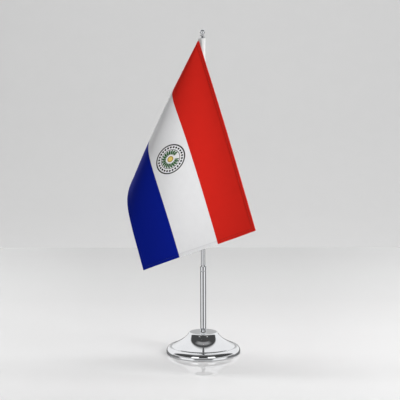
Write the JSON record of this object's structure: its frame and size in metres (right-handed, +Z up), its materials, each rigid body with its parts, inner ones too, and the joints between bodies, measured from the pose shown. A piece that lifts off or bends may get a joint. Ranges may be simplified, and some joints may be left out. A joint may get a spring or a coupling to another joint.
{
  "type": "desk flag stand",
  "caption": "Desk flag stand: weighted round spun base, telescopic chrome mast with a ball finial, and a small satin tricolour hanging from a hoist sleeve.",
  "frame": {"origin": "on the mast axis, in the plane of the felt foot", "axes": "+Z up along the mast, -Y towards the front panel of the hanging flag, +X to the viewer's right"},
  "size_m": [0.1567, 0.1377, 0.4082],
  "materials": {
    "felt": "felt",
    "plate": "plain zinc sheet",
    "iron": "as cast",
    "shell": "polished",
    "screw": "zinc plated",
    "spring": "spring steel",
    "washer": "zinc plated",
    "plug": "turned",
    "lower": "polished",
    "collar": "polished",
    "grip": "turned",
    "core": "nylon",
    "upper": "polished",
    "stem": "turned",
    "neck": "polished",
    "ball": "polished",
    "ring": "wire",
    "hoist": "white tape",
    "cloth": "satin, printed in three bands"
  },
  "bodies": {
    "stand": {"felt_pad": "felt", "base_plate": "plate", "base_ballast": "iron", "base_shell": "shell", "foot_screw": "screw", "spring_washer": "spring", "flat_washer": "washer", "tube_plug": "plug", "lower_tube": "lower", "tube_collar": "collar"},
    "slider": {"friction_sleeve": "grip"},
    "upper_mast": {"slider_core": "core", "upper_tube": "upper", "finial_stem": "stem", "finial_neck": "neck", "finial_ball": "ball"},
    "flag": {"neck_ring": "ring", "hoist_sleeve": "hoist", "flag_cloth": "cloth"}
  },
  "joints": [
    {"name": "mast_slide", "type": "slide", "parent": "stand", "child": "slider", "axis": [0, 0, 1], "range_m": [-0.055, 0]},
    {"name": "mast_turn", "type": "hinge", "parent": "slider", "child": "upper_mast", "pos_m": [0, 0, 0.1021], "axis": [0, 0, 1], "continuous": true},
    {"name": "flag_swivel", "type": "hinge", "parent": "upper_mast", "child": "flag", "pos_m": [0, 0, 0.3964], "axis": [0, 0, 1], "continuous": true}
  ]
}
